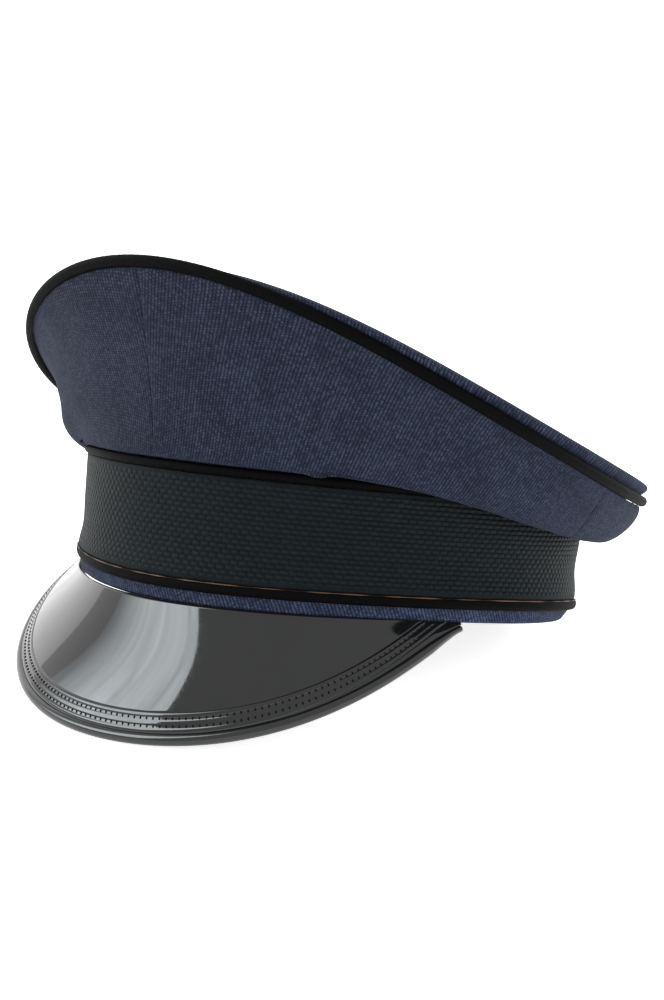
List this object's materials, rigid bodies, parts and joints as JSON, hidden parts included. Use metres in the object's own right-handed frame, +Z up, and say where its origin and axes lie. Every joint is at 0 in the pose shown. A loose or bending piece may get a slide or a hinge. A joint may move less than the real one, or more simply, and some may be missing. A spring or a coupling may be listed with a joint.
{
  "type": "military peaked cap",
  "caption": "Peaked service cap with a flared wool crown raised at the front, ribbed dark band between black pipings, and a glossy drooping visor with a bound edge; rests on visor and band.",
  "frame": {"origin": "centre of the cap's bounding box, on the surface it rests on", "axes": "+Z up from the resting surface, front of the cap towards -Y, wearer's left towards +X"},
  "size_m": [0.238, 0.2825, 0.1597],
  "materials": {
    "wool_cloth": "blue-grey wool whipcord, matt",
    "piping": "black piping cord, matt",
    "mohair_braid": "ribbed dark braid, low sheen",
    "patent": "black patent, mirror gloss",
    "visor_board": "pressed fibre board",
    "visor_lining": "dark grained lining leather",
    "stiffener": "stiff buckram board",
    "sweatband": "brown grained leather, satin",
    "reed": "leather covered reed",
    "tape": "woven cotton tape",
    "foam": "soft foam backed with cloth",
    "lining": "satin lining",
    "clear_sheet": "clear flexible sheet",
    "steel": "spring steel"
  },
  "bodies": {
    "root": {"crown_top_panel": "wool_cloth", "crown_front_left_panel": "wool_cloth", "crown_front_right_panel": "wool_cloth", "crown_rear_left_panel": "wool_cloth", "crown_rear_right_panel": "wool_cloth", "crown_rim_piping": "piping", "crown_front_interlining": "foam", "crown_front_stay": "steel", "crown_wire": "steel", "crown_wire_ferrule": "steel", "stay_wire_loop": "steel", "crown_lining_top": "lining", "crown_lining_side": "lining", "lining_sweat_shield": "clear_sheet", "band_base_cloth": "wool_cloth", "band_braid": "mohair_braid", "band_upper_piping": "piping", "band_lower_piping": "piping", "band_stiffener": "stiffener", "sweatband": "sweatband", "sweatband_reed": "reed", "sweatband_back_tape": "tape", "forehead_pad": "foam", "visor_patent_top": "patent", "visor_rim_band": "patent", "visor_core": "visor_board", "visor_underlay": "visor_lining", "visor_edge_binding": "patent", "visor_sewing_flange": "tape"}
  },
  "joints": []
}
